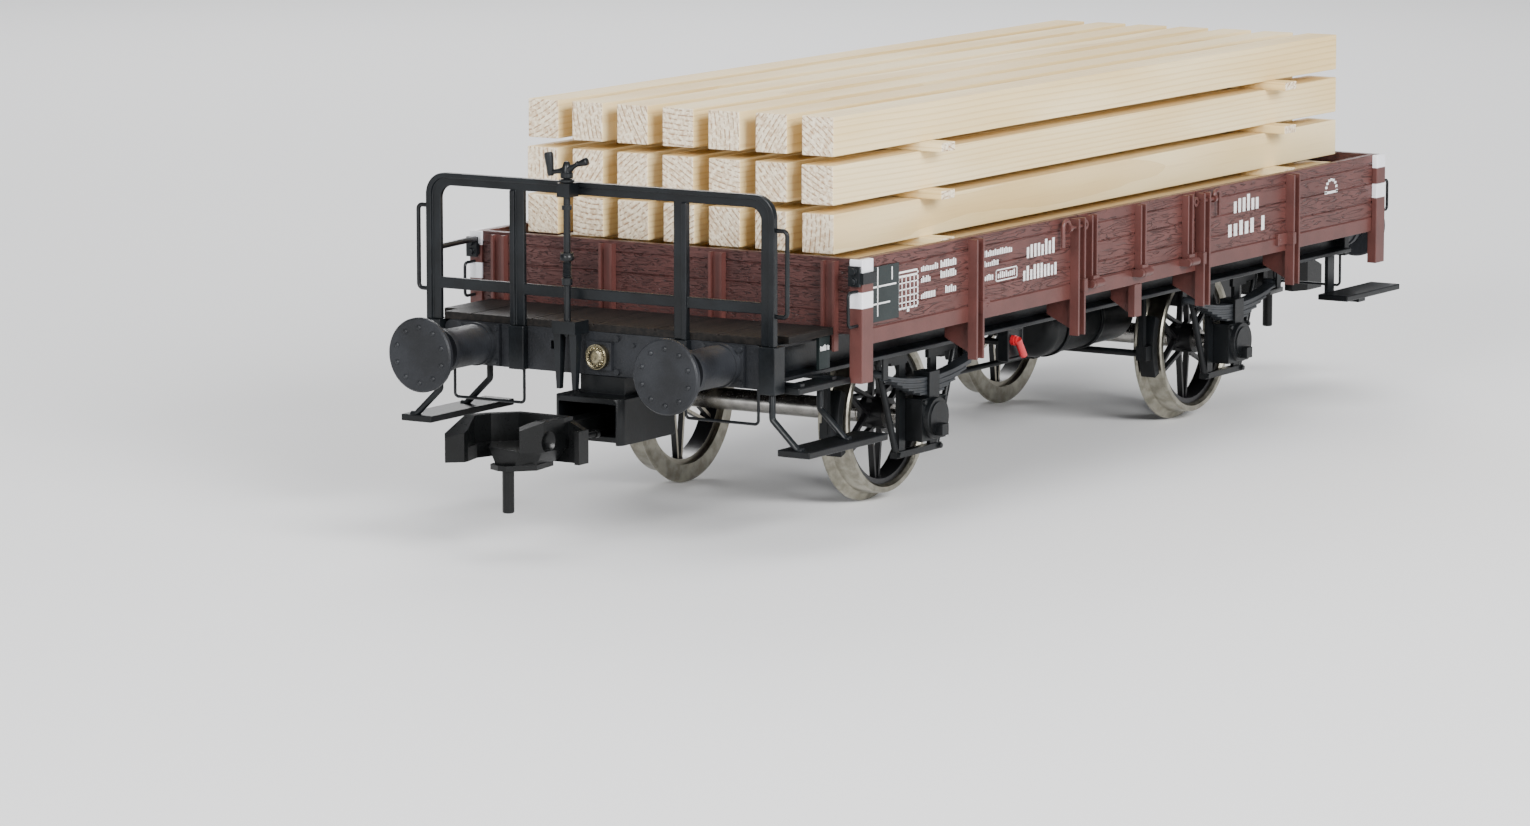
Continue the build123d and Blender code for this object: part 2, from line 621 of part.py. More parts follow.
# ---- couplers ------------------------------------------------------------------------
POCKET_X0 = -123.6
POCKET_X1 = -105.0
POCKET_Y = 7.5
POCKET_Z = (17.9, 26.6)
POCKET_T = 1.1
PIVOT_R = 1.2
PIVOT_PLAY = 0.07
CLAW_Z = (16.4, 25.4)
SHELF_T = 1.0
BASE_TOP = 20.2                # floor of the claw, above the tapered base
PIN_X = -149.4
UNCOUPLER_R = 1.1
UNCOUPLER_Z0 = 8.5


def coupler_pocket():
    """Box under the headstock, open to the front, with the pivot pin's neck on top."""
    outer = block((POCKET_X0, POCKET_X1), (-POCKET_Y, POCKET_Y), POCKET_Z)
    outer = fillet(outer.edges().filter_by(Axis.Z).group_by(Axis.X)[0], 1.6)
    hollow = block((POCKET_X0 - 1, POCKET_X1 - POCKET_T), (-POCKET_Y + 1.2, POCKET_Y - 1.2),
                   (POCKET_Z[0] + POCKET_T, POCKET_Z[1] - POCKET_T))
    throat = block((POCKET_X0 - 1, POCKET_X0 + 3.0), (-POCKET_Y + 1.2, POCKET_Y - 1.2),
                   (POCKET_Z[0], COUPLER_Z))
    neck = block((-HEAD_X + 0.4, -107.0), (-5.0, 5.0), (POCKET_Z[1], HEAD_BOTTOM))
    saddle = block((-HEAD_X + HEAD_T, -107.0), (-5.0, 5.0), (HEAD_BOTTOM, 32.0))
    return outer - hollow - throat + neck + saddle


def pivot_pin():
    low = POCKET_Z[0] + POCKET_T
    high = POCKET_Z[1] - POCKET_T
    return disc((-COUPLER_PIVOT, 0, low), (0, 0, 1), PIVOT_R, high - low)


def coupler_bar():
    """Draw bar with its eye round the pivot pin."""
    z = (COUPLER_Z - 1.6, COUPLER_Z + 1.6)
    eye = disc((-COUPLER_PIVOT, 0, z[0]), (0, 0, 1), 3.0, z[1] - z[0])
    bar = block((-138.0, -COUPLER_PIVOT), (-1.9, 1.9), z)
    body = eye + bar
    lever = rod((-137.6, -3.4, COUPLER_Z - 1.0), (-127.6, -4.4, COUPLER_Z - 1.0), 0.55)
    lever = lever + disc((-127.8, -4.4, COUPLER_Z - 1.0), (1, 0, 0), 0.8, 1.1)
    lever = lever + block((-138.0, -135.6), (-3.8, -1.6), (COUPLER_Z - 1.6, COUPLER_Z - 0.8))
    bore = disc((-COUPLER_PIVOT, 0, z[0] - 1), (0, 0, 1), PIVOT_R + PIVOT_PLAY, 6)
    return body + lever - bore


def coupler_head():
    """Claw: a flared horn on the left, a hollow guide on the right, a tapered base on a shelf."""
    z0, z1 = CLAW_Z
    wall = polygon(
        (-138.0, -6.6), (-138.0, 5.0), (-142.6, 9.6), (-146.4, 11.4), (-153.2, 11.4), (-154.8, 10.2),
        (-152.4, 7.6), (-151.2, 7.6), (-146.8, 9.2), (-143.2, 8.0), (-139.6, 4.4), (-139.6, -5.0),
        (-146.0, -4.4), (-149.0, -2.2), (-150.3, -3.1), (-146.8, -6.0), (-141.0, -6.6))
    horn_foot = polygon(
        (-142.6, 9.6), (-146.4, 11.4), (-153.2, 11.4), (-154.8, 10.2), (-152.4, 7.6), (-151.2, 7.6),
        (-146.8, 8.6), (-143.2, 7.4))
    body = extrude(Plane.XY.offset(BASE_TOP - 0.4) * wall, z1 - BASE_TOP + 0.4)
    body = body + extrude(Plane.XY.offset(z0 + 1.2) * horn_foot, BASE_TOP - z0 - 1.2)
    slope = plate_xz(polygon((-160, 27.0), (-142.5, 27.0), (-160, 20.0)), (-20, 20))
    dimple = Pos(-145.6, -8.4, 21.6) * Sphere(3.0)
    body = body - slope - dimple
    base_top = polygon(
        (-150.3, -3.1), (-149.2, 4.4), (-143.4, 8.0), (-138.6, 4.6), (-138.6, -6.4), (-146.8, -5.9))
    base_low = polygon(
        (-149.9, -2.0), (-149.6, 2.6), (-143.0, 3.4), (-139.6, 3.0), (-139.6, -4.0), (-146.8, -4.2))
    base = loft([Plane.XY.offset(z0 + 0.8) * base_low, Plane.XY.offset(BASE_TOP) * base_top])
    shelf = polygon(
        (-151.4, 0.9), (-150.2, 3.4), (-143.0, 4.0), (-140.6, 3.0), (-140.6, -4.0), (-147.2, -4.8),
        (-151.4, -0.9))
    shelf = extrude(Plane.XY.offset(z0) * shelf, SHELF_T)
    side = polygon((-3.0, z0 + 0.6), (-9.8, z0 + 0.6), (-9.8, 23.2), (-5.0, z1), (-3.0, z1))
    flange = plate_yz(side, (-139.4, -138.0))
    rim = block((-141.2, -138.0), (-10.0, -9.0), (z0 + 0.6, 23.2))
    body = body + base + shelf + flange + rim
    return body - disc((PIN_X, 0, z0), (0, 0, 1), UNCOUPLER_R, SHELF_T)


def uncoupling_pin():
    """Rod pressed into the claw's shelf; a ramp between the rails works on it."""
    pin = disc((PIN_X, 0, UNCOUPLER_Z0), (0, 0, 1), UNCOUPLER_R, CLAW_Z[0] + SHELF_T - UNCOUPLER_Z0)
    return fillet(pin.edges().filter_by(GeomType.CIRCLE).group_by(Axis.Z)[0], 0.3)


coupler = coupler_bar() + coupler_head()
pocket = coupler_pocket()
for name, place in (("front", lambda s: s), ("rear", turn_end)):
    save("coupler_" + name, [place(coupler)])
    save("uncoupling_pin_" + name, [place(uncoupling_pin())])
save("coupler_pockets", [pocket, turn_end(pocket), pivot_pin(), turn_end(pivot_pin())])

# ---- axle boxes, guards and springs --------------------------------------------------
GUARD_Y = (31.4, 32.2)
SPRING_Y = 34.0
SPRING_W = 2.8
SPRING_R = 68.0
LEAF_T = 0.48
LEAF_COUNT = 7
LEAF_LENGTH = 17.2
SPRING_TOP = 25.2


def axle_guard(x):
    """Plate that guides the axle box, with splayed legs and a tie bar."""
    guard = block((x - 10, x + 10), GUARD_Y, (28.0, 37.0))
    guard = guard - block((x - 4.0, x + 4.0), GUARD_Y, (28.0, 34.0))
    for side in (-1, 1):
        guard = guard + block((x + side * 4.7, x + side * 7.0), GUARD_Y, (11.0, 28.0))
        guard = guard + rod((x + side * 14.6, 31.8, 29.6), (x + side * 7.4, 31.8, 10.6), 0.65)
        guard = guard + block((x + side * 9.0, x + side * 15.0), GUARD_Y, (28.6, 31.4))
    guard = guard + block((x - 8.4, x + 8.4), (31.0, 32.6), (10.0, 11.2))
    for dx in (-7.6, 7.6):
        guard = guard + disc((x + dx, 32.6, 10.6), (0, 1, 0), 0.5, 0.5)
    return guard


def axle_box(x):
    """Bearing housing with a round cover and an oil spout, bored for the journal."""
    body = block((x - 4.5, x + 4.5), (30.8, 35.8), (13.0, 21.2))
    body = body + disc((x, 35.8, AXLE_Z), (0, 1, 0), 4.0, 1.0)
    body = body + disc((x, 36.8, AXLE_Z), (0, 1, 0), 3.2, 0.25)
    body = body + block((x - 1.2, x + 1.2), (36.8, 38.4), (14.0, 16.2))
    for dx in (-3.8, 3.8):
        body = body + disc((x + dx, 35.8, 20.6), (0, 1, 0), 0.45, 0.5)
    bore = rod((x, 30, AXLE_Z), (x, JOURNAL_END + 0.4, AXLE_Z), JOURNAL_R + 0.06)
    return body - bore


def spring_leaf(x, index):
    """One arched leaf; the shorter leaves lie below the longer ones."""
    inner = SPRING_R + index * LEAF_T
    half = LEAF_LENGTH - 2.1 * index
    width = SPRING_W - (0.0 if index % 2 == 0 else 0.24)
    ring = Circle(inner + LEAF_T) - Circle(inner)
    window = Pos(0, -SPRING_R) * Rectangle(2 * half, 12)
    leaf = ring & window
    plane = Plane(origin=(x, SPRING_Y + width / 2, SPRING_TOP + SPRING_R), x_dir=(1, 0, 0), z_dir=(0, -1, 0))
    return extrude(plane * leaf, width)


EYE_R = 0.75
EYE_DX = LEAF_LENGTH + EYE_R
EYE_Z = SPRING_TOP + SPRING_R - math.sqrt(SPRING_R ** 2 - LEAF_LENGTH ** 2) + 0.2


def spring_eye(x):
    return rod((x, SPRING_Y - SPRING_W / 2, EYE_Z), (x, SPRING_Y + SPRING_W / 2, EYE_Z), EYE_R)


leaves = []
hangers = []
buckles = []
guards = []
boxes = []
for x in AXLES:
    pack = [spring_leaf(x, i) for i in range(LEAF_COUNT)]
    leaves.extend(pack + [spring_eye(x - EYE_DX), spring_eye(x + EYE_DX)])
    buckle = block((x - 1.9, x + 1.9), (32.3, 35.9), (21.2, 26.2))
    for leaf in pack:
        buckle = buckle - leaf
    window = block((x - 3, x + 3), (SPRING_Y - SPRING_W / 2, SPRING_Y + SPRING_W / 2), (21.9, 25.2))
    buckles.append(buckle - window)
    for eye_x in (x - EYE_DX, x + EYE_DX):
        for y in ((32.3, 32.6), (35.4, 35.8)):
            hangers.append(block((eye_x - 0.9, eye_x + 0.9), y, (EYE_Z - 1.0, FRAME_BOTTOM)))
    guards.append(axle_guard(x))
    boxes.append(axle_box(x))
save("spring_leaves", both_sides(leaves))
save("spring_fittings", both_sides(hangers + buckles))
save("axle_guards", both_sides(guards))
save("axle_boxes", both_sides(boxes))

# ---- brake gear ----------------------------------------------------------------------
SHOE_GAP = 0.35
SHOE_T = 1.9
SHOE_Y = (21.8, 25.2)
BEAM_X = 19.2
PULL_X = -36.0                 # front hanger of the pull rod, under a cross beam


def brake_shoe(x):
    """Curved shoe on the platform side of a wheel."""
    ring = Circle(TREAD_R + SHOE_GAP + SHOE_T) - Circle(TREAD_R + SHOE_GAP)
    sector = polygon((0, 0), (-22, 8.5), (-22, -8.5))
    plane = Plane(origin=(x, SHOE_Y[1], AXLE_Z), x_dir=(1, 0, 0), z_dir=(0, -1, 0))
    return extrude(plane * (ring & sector), SHOE_Y[1] - SHOE_Y[0])


def shoe_hanger(x):
    back = x - BEAM_X
    bar = block((back - 1.0, back + 0.2), (23.0, 24.2), (15.6, 37.0))
    lug_block = block((back - 0.9, back + 1.7), (22.4, 24.8), (14.6, 17.6))
    shoe = brake_shoe(x)
    return (bar + lug_block) - shoe


shoes = []
shoe_hangers = []
for x in AXLES:
    shoes.append(brake_shoe(x))
    shoe_hangers.append(shoe_hanger(x))
save("brake_shoes", both_sides(shoes))
hanger_beams = [block((x - BEAM_X - 1.0, x - BEAM_X + 0.2), (24.2, SOLE_WEB[0]), (34.6, 37.0)) for x in AXLES]
rear_beam_x = AXLES[1] - BEAM_X
cross_rod = rod((rear_beam_x + 0.1, -22.4, 16.0), (rear_beam_x + 0.1, 22.4, 16.0), 0.7)
pull_rod = rod((PULL_X, 2.5, 14.0), (rear_beam_x - 0.6, 2.5, 14.0), 0.6)
pull_rod = pull_rod + block((rear_beam_x - 1.2, rear_beam_x + 1.4), (1.6, 3.4), (13.2, 15.3))
pull_rod = pull_rod + block((PULL_X - 0.7, PULL_X + 0.7), (1.7, 3.3), (13.0, 32.0))
save("brake_rigging", both_sides(shoe_hangers + hanger_beams) + [cross_rod, pull_rod])

TANK_Y = -10.0
TANK_Z = 23.3
TANK_R = 6.3
TANK_X = (23.4, 59.4)


def tank():
    body = rod((TANK_X[0], TANK_Y, TANK_Z), (TANK_X[1], TANK_Y, TANK_Z), TANK_R)
    return fillet(body.edges().filter_by(GeomType.CIRCLE), 2.6)


def tank_band(x):
    band = rod((x - 0.6, TANK_Y, TANK_Z), (x + 0.6, TANK_Y, TANK_Z), TANK_R + 0.4)
    band = band + block((x - 0.6, x + 0.6), (TANK_Y - 1.2, TANK_Y + 1.2), (TANK_Z, 32.0))
    return band - rod((x - 2, TANK_Y, TANK_Z), (x + 2, TANK_Y, TANK_Z), TANK_R)


save("air_tank", [tank(), tank_band(44.0), tank_band(30.0)])

BOX_X = -26.6
LEVER_X = BOX_X - 0.8
changeover = block((BOX_X - 3.0, BOX_X + 3.0), (-36.0, -33.6), (24.6, FRAME_BOTTOM))
changeover = changeover - block((BOX_X - 2.4, BOX_X + 2.4), (-36.0, -35.7), (25.2, 30.4))
save("changeover_box", [changeover])
lever = disc((LEVER_X, -35.7, 28.6), (0, -1, 0), 1.0, 0.7)
lever = lever + disc((LEVER_X, -36.2, 28.6), (0, -1, 0), 0.8, 0.7)
lever = lever + rod((LEVER_X, -36.9, 28.8), (LEVER_X + 2.4, -36.9, 25.4), 0.75)
save("changeover_lever", [lever])

# ---- steps and label plates ----------------------------------------------------------
STEP_Y = (38.6, 45.5)
STEP_Z = 19.3
UPPER_Y = (36.4, 41.6)


def step_hanger(x):
    top = HEAD_BOTTOM - 0.6 if x < -117 else 29.2
    tube = wire([(x, 37.0, top), (x, 37.0, 24.6), (x, 42.6, STEP_Z), (x, 43.6, STEP_Z)], 0.62, 1.0)
    return tube & block((x - 3, x + 3), (30, 50), (STEP_Z, top))


lower_board = block((-118.8, -90.8), STEP_Y, (STEP_Z - 1.3, STEP_Z))
upper_board = block((-116.0, -97.9), UPPER_Y, (29.2, 30.4))
step_tubes = [step_hanger(-117.9), step_hanger(-101.3)]
upper_arms = [block((x - 0.7, x + 0.7), (33.2, 41.0), (30.4, FRAME_BOTTOM)) for x in (-113.9, -102.7)]

rear_board = block((99.0, 124.0), (38.0, 45.0), (22.6, 23.8))
rear_strap = block((105.6, 108.6), (36.2, 37.0), (21.8, FRAME_BOTTOM))
rear_strap = rear_strap + block((105.6, 108.6), (36.2, 44.4), (21.8, 22.6))
save("step_boards", both_sides([lower_board, upper_board, rear_board]))
save("step_hangers", both_sides(step_tubes + upper_arms + [rear_strap]))

label_plate = block((-102.6, BODY_X0 - 1.0), (SOLE_OUT, 37.6), (32.0, 38.1))
chalk_board = block((BODY_X0 + 4.1, BODY_X0 + 14.7), (WALL_OUT, 43.1), (40.0, 50.3))
save("label_boards", both_sides([label_plate, chalk_board]))

# ---- timber load ---------------------------------------------------------------------
STRIP_X = (-58.0, 83.5)
STRIP_W = 5.1
STRIP_Y = 39.0
strips = []
timber = []
for layer in range(LAYERS):
    z0 = FLOOR_TOP + layer * (BEAM_H + STRIP_T)
    z1 = z0 + STRIP_T
    for x in STRIP_X:
        strips.append(block((x - STRIP_W / 2, x + STRIP_W / 2), (-STRIP_Y, STRIP_Y), (z0, z1)))
    for i in range(7):
        y = (i - 3) * BEAM_PITCH
        timber.append(block((BEAM_X0, BEAM_X1), (y - BEAM_W / 2, y + BEAM_W / 2), (z1, z1 + BEAM_H)))
save("timber_beams", timber)
save("load_strips", strips)
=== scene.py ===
import math
import random

import bmesh
import bpy
from mathutils import Matrix, Vector


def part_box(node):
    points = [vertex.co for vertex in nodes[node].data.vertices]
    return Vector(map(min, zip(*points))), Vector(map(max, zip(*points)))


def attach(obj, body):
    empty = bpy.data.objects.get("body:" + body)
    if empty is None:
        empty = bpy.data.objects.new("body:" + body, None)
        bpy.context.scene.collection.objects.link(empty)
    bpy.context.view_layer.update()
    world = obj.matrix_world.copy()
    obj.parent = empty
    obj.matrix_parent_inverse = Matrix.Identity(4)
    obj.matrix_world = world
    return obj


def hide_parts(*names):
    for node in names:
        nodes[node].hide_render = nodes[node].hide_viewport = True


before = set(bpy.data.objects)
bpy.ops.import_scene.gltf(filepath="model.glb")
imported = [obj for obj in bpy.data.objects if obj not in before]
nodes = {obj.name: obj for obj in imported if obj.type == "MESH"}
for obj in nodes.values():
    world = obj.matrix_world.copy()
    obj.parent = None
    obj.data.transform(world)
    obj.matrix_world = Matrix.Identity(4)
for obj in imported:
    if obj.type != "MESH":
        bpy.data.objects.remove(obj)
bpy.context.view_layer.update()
MM = 0.001


# ---- shader helpers -------------------------------------------------------------------
class Shader:
    """A material whose nodes are added by short calls; a socket given as a value is linked."""

    def __init__(self, name):
        self.material = bpy.data.materials.new(name)
        self.material.use_nodes = True
        self.tree = self.material.node_tree
        self.bsdf = self.tree.nodes["Principled BSDF"]
        self.place = self.add("TexCoord").outputs["Object"]

    def feed(self, socket, value):
        if isinstance(value, bpy.types.NodeSocket):
            self.tree.links.new(value, socket)
        else:
            socket.default_value = value

    def add(self, kind, settings=None, **sockets):
        node = self.tree.nodes.new("ShaderNode" + kind)
        for key, value in (settings or {}).items():
            setattr(node, key, value)
        for key, value in sockets.items():
            self.feed(node.inputs[key.replace("_", " ")], value)
        return node

    def math(self, operation, a, b=0.0, c=0.0):
        node = self.add("Math", {"operation": operation})
        for socket, value in zip(node.inputs, (a, b, c)):
            self.feed(socket, value)
        return node.outputs[0]

    def scaled(self, x, y, z, shift=None):
        """Object coordinates in metres, multiplied per axis."""
        start = self.place
        if shift is not None:
            added = self.add("VectorMath", {"operation": "ADD"})
            self.feed(added.inputs[0], start)
            self.feed(added.inputs[1], shift)
            start = added.outputs[0]
        return self.add("Mapping", Vector=start, Scale=(x, y, z)).outputs[0]

    def noise(self, vector, scale=1.0, detail=3.0, roughness=0.55, distortion=0.0):
        return self.add("TexNoise", Vector=vector, Scale=scale, Detail=detail, Roughness=roughness,
                        Distortion=distortion).outputs["Fac"]

    def ramp(self, value, low, high, out_low=0.0, out_high=1.0):
        return self.add("MapRange", {"interpolation_type": "SMOOTHSTEP"}, Value=value, From_Min=low,
                        From_Max=high, To_Min=out_low, To_Max=out_high).outputs[0]

    def blend(self, factor, a, b):
        node = self.add("Mix", {"data_type": "RGBA"})
        for socket, value in ((node.inputs[0], factor), (node.inputs[6], a), (node.inputs[7], b)):
            self.feed(socket, value)
        return node.outputs[2]

    def bump(self, height, distance, strength=1.0, normal=None):
        node = self.add("Bump", Height=height, Distance=distance, Strength=strength)
        if normal is not None:
            self.feed(node.inputs["Normal"], normal)
        return node.outputs[0]

    def finish(self, **sockets):
        for key, value in sockets.items():
            self.feed(self.bsdf.inputs[key.replace("_", " ")], value)
        return self.material


def rgb(red, green, blue):
    return (red, green, blue, 1.0)


def moulded(name, dark, light, roughness, grit=0.02, coat=0.0, shine=0.5):
    """Painted or moulded plastic: cloudy colour, fine grit and uneven sheen."""
    s = Shader(name)
    cloud = s.noise(s.scaled(1, 1, 1), 160.0, 4.0)
    fine = s.noise(s.scaled(1, 1, 1), 2600.0, 2.0)
    color = s.blend(s.ramp(cloud, 0.3, 0.7), dark, light)
    rough = s.math("ADD", s.math("MULTIPLY", fine, 0.16), roughness - 0.08)
    return s.finish(Base_Color=color, Roughness=rough, Normal=s.bump(fine, grit * MM),
                    Coat_Weight=coat, Coat_Roughness=0.35, Specular_IOR_Level=shine)


def grained(name, dark, light, scale, depth, roughness, spread):
    """Brown boards with raised grain and painted shade in the grain grooves; scale is repeats per metre along X, Y and
    Z.
    """
    s = Shader(name)
    wave = s.noise(s.scaled(*scale), 1.0, 2.5, 0.5, 0.35)
    contour = s.math("ABSOLUTE", s.math("SUBTRACT", s.math("FRACT", s.math("MULTIPLY", wave, 9.0)), 0.5))
    line = s.ramp(contour, 0.0, 0.16)
    patch = s.ramp(s.noise(s.scaled(*[v * 0.45 for v in scale]), 1.0, 2.0), spread, spread + 0.14)
    groove = s.math("MAXIMUM", line, s.math("SUBTRACT", 1.0, patch))
    cloud = s.noise(s.scaled(1, 1, 1), 140.0, 4.0)
    fine = s.noise(s.scaled(1, 1, 1), 2200.0, 2.0)
    paint = s.blend(s.ramp(cloud, 0.3, 0.7), dark, light)
    # painted shade: where the grain grooves sink, the colour drops to half the dark brown
    color = s.blend(groove, tuple(v * 0.5 for v in dark[:3]) + (1.0,), paint)
    height = s.math("ADD", groove, s.math("MULTIPLY", fine, 0.12))
    return s.finish(Base_Color=color, Roughness=s.math("ADD", s.math("MULTIPLY", fine, 0.15), roughness - 0.07),
                    Normal=s.bump(height, depth * MM))


def metal(name, dark, light, roughness, grain):
    s = Shader(name)
    cloud = s.noise(s.scaled(1, 1, 1), 420.0, 5.0)
    fine = s.noise(s.scaled(1, 1, 1), 3800.0, 3.0)
    color = s.blend(s.ramp(cloud, 0.3, 0.7), dark, light)
    return s.finish(Base_Color=color, Metallic=1.0,
                    Roughness=s.math("ADD", s.math("MULTIPLY", fine, 0.2), roughness - 0.1),
                    Normal=s.bump(fine, grain * MM))


def pine(name, along):
    """Sawn softwood: growth rings round a pith that each piece's own attribute shifts."""
    s = Shader(name)
    across = "Y" if along == "X" else "X"
    shift = s.add("Attribute", {"attribute_name": "pith"}).outputs["Vector"]

    def stretched(lengthwise, sideways):
        """Coordinates scaled one way along the grain and another way across it."""
        if along == "X":
            return s.scaled(lengthwise, sideways, sideways, shift)
        return s.scaled(sideways, lengthwise, sideways, shift)

    split = s.add("SeparateXYZ", Vector=stretched(0.0, 1000.0))
    side, up = split.outputs[across], split.outputs["Z"]
    radius = s.math("SQRT", s.math("ADD", s.math("MULTIPLY", side, side), s.math("MULTIPLY", up, up)))
    bow = s.noise(stretched(9.0, 24.0), 1.0, 1.0)
    wobble = s.noise(stretched(20.0, 260.0), 1.0, 2.0)
    rings = s.math("ADD", s.math("MULTIPLY", radius, 1.05), s.math("MULTIPLY", wobble, 0.42))
    rings = s.math("ADD", rings, s.math("MULTIPLY", bow, 3.2))
    late = s.ramp(s.math("FRACT", rings), 0.55, 0.95)
    fibre = s.noise(stretched(50.0, 2400.0), 1.0, 2.0)
    tone = s.noise(stretched(10.0, 50.0), 1.0, 2.0)
    pale = s.blend(s.ramp(tone, 0.35, 0.65), rgb(0.77, 0.575, 0.275), rgb(0.88, 0.72, 0.42))
    dark = s.blend(s.ramp(tone, 0.35, 0.65), rgb(0.58, 0.37, 0.14), rgb(0.68, 0.47, 0.21))
    grain = s.blend(s.math("MULTIPLY", late, 0.40), pale, dark)
    color = s.blend(s.ramp(fibre, 0.56, 0.8, 0.0, 0.22), grain, rgb(0.52, 0.33, 0.13))
    facing = s.add("SeparateXYZ", Vector=s.add("NewGeometry").outputs["Normal"]).outputs[along]
    end = s.ramp(s.math("ABSOLUTE", facing), 0.7, 0.9)
    pores = s.noise(s.scaled(1300.0, 1300.0, 1300.0), 1.0, 3.0)
    end_tone = s.blend(s.ramp(pores, 0.32, 0.62), rgb(0.62, 0.46, 0.30), rgb(0.90, 0.79, 0.60))
    dashes = s.ramp(s.noise(s.scaled(1250.0, 1250.0, 1250.0), 1.0, 1.0), 0.38, 0.56)
    ring_mark = s.math("MULTIPLY", late, s.math("MULTIPLY", dashes, 0.9))
    end_color = s.blend(ring_mark, end_tone, rgb(0.30, 0.16, 0.07))
    height = s.math("SUBTRACT", s.math("MULTIPLY", fibre, 0.5), s.math("MULTIPLY", late, 0.4))
    height = s.math("ADD", height, s.math("MULTIPLY", s.math("MULTIPLY", pores, end), 2.2))
    return s.finish(Base_Color=s.blend(end, color, end_color), Roughness=0.62,
                    Normal=s.bump(height, 0.07 * MM), Specular_IOR_Level=0.3)


def wheel_centre(name):
    """Spoked centre: black from outside, bare nickel on the faces that look inwards."""
    s = Shader(name)
    fine = s.noise(s.scaled(1, 1, 1), 3000.0, 2.0)
    across = s.add("SeparateXYZ", Vector=s.place).outputs["Y"]
    facing = s.add("SeparateXYZ", Vector=s.add("NewGeometry").outputs["Normal"]).outputs["Y"]
    inward = s.math("MULTIPLY", facing, s.math("SIGN", across))
    bare = s.ramp(inward, -0.5, -0.2, 1.0, 0.0)
    color = s.blend(bare, rgb(0.008, 0.008, 0.009), rgb(0.45, 0.42, 0.35))
    return s.finish(Base_Color=color, Metallic=bare, Roughness=s.math("ADD", s.math("MULTIPLY", fine, 0.2), 0.26),
                    Normal=s.bump(fine, 0.015 * MM))


def worn_deck(name, scale):
    """Dark stained boards."""
    s = Shader(name)
    streak = s.noise(s.scaled(*scale), 1.0, 4.0, 0.6)
    fine = s.noise(s.scaled(1, 1, 1), 2400.0, 2.0)
    color = s.blend(s.ramp(streak, 0.35, 0.65), rgb(0.0035, 0.0032, 0.003), rgb(0.012, 0.0095, 0.008))
    height = s.math("ADD", streak, s.math("MULTIPLY", fine, 0.2))
    return s.finish(Base_Color=color, Roughness=s.math("ADD", s.math("MULTIPLY", fine, 0.2), 0.45),
                    Normal=s.bump(height, 0.06 * MM), Specular_IOR_Level=0.22)


def banded_post(name, bands):
    """Brown corner posts with white painted bands between the heights in bands."""
    s = Shader(name)
    cloud = s.noise(s.scaled(1, 1, 1), 160.0, 4.0)
    fine = s.noise(s.scaled(1, 1, 1), 2600.0, 2.0)
    brown = s.blend(s.ramp(cloud, 0.3, 0.7), BROWN_DARK, BROWN_LIGHT)
    height = s.add("SeparateXYZ", Vector=s.place).outputs["Z"]
    edge = 0.08 * MM
    white = 0.0
    for low, high in bands:
        above = s.ramp(height, low * MM - edge, low * MM + edge)
        below = s.ramp(height, high * MM - edge, high * MM + edge, 1.0, 0.0)
        white = s.math("MAXIMUM", s.math("MULTIPLY", above, below), white)
    chalk = s.blend(s.ramp(cloud, 0.3, 0.7), rgb(0.72, 0.72, 0.76), rgb(0.84, 0.84, 0.88))
    return s.finish(Base_Color=s.blend(white, brown, chalk), Roughness=0.42, Normal=s.bump(fine, 0.015 * MM))


BROWN_DARK = rgb(0.074, 0.0245, 0.0205)
BROWN_LIGHT = rgb(0.098, 0.032, 0.027)
BLACK_DARK = rgb(0.0028, 0.0036, 0.0044)
BLACK_LIGHT = rgb(0.0065, 0.0082, 0.0098)

frame_black = moulded("frame_black", BLACK_DARK, BLACK_LIGHT, 0.34, 0.02, shine=0.3)
gear_black = moulded("gear_black", rgb(0.0025, 0.003, 0.0033), rgb(0.0055, 0.0065, 0.0075), 0.36, 0.015, shine=0.26)
cast_black = moulded("cast_black", rgb(0.0065, 0.0072, 0.0088), rgb(0.015, 0.0165, 0.020), 0.46, 0.06, shine=0.32)
claw_black = moulded("claw_black", rgb(0.0016, 0.0018, 0.0018), rgb(0.0032, 0.0036, 0.0038), 0.3, 0.004, shine=0.24)
# painted highlight: the spring leaves get a lighter black than the other running gear, for the light caught on the
# leaf edges
leaf_black_highlit = moulded("leaf_black_highlit", rgb(0.010, 0.012, 0.014), rgb(0.022, 0.025, 0.029), 0.4, 0.02, shine=0.4)
spoked_centre = wheel_centre("spoked_centre")
brown_plain = moulded("brown_plain", BROWN_DARK, BROWN_LIGHT, 0.42, 0.015)
brown_sides = grained("brown_sides", BROWN_DARK, BROWN_LIGHT, (60.0, 620.0, 620.0), 0.12, 0.45, 0.34)
# painted shade: the end walls get the side brown darkened to about three quarters, for the shade on the end faces
brown_ends_shaded = grained("brown_ends_shaded", rgb(0.056, 0.0195, 0.0175), rgb(0.078, 0.027, 0.0235), (400.0, 130.0, 1300.0), 0.22,
                     0.42, 0.22)
post_paint = banded_post("post_paint", ((43.2, 46.2), (49.6, 53.0)))
deck_wood = worn_deck("deck_wood", (900.0, 40.0, 900.0))
platform_wood = worn_deck("platform_wood", (60.0, 900.0, 900.0))
pine_wood = pine("pine_wood", "X")
strip_wood = pine("strip_wood", "Y")
nickel = metal("nickel", rgb(0.25, 0.235, 0.19), rgb(0.42, 0.40, 0.335), 0.34, 0.02)
brass_nickel = metal("brass_nickel", rgb(0.14, 0.12, 0.075), rgb(0.36, 0.32, 0.21), 0.3, 0.05)
bright_steel = metal("bright_steel", rgb(0.40, 0.385, 0.36), rgb(0.62, 0.60, 0.57), 0.24, 0.006)
red_paint = moulded("red_paint", rgb(0.34, 0.008, 0.012), rgb(0.50, 0.014, 0.022), 0.3, 0.01, 0.4)
white_ink = moulded("white_ink", rgb(0.70, 0.70, 0.70), rgb(0.84, 0.84, 0.83), 0.5, 0.01)
board_black = moulded("board_black", rgb(0.004, 0.009, 0.009), rgb(0.008, 0.015, 0.015), 0.5, 0.02)

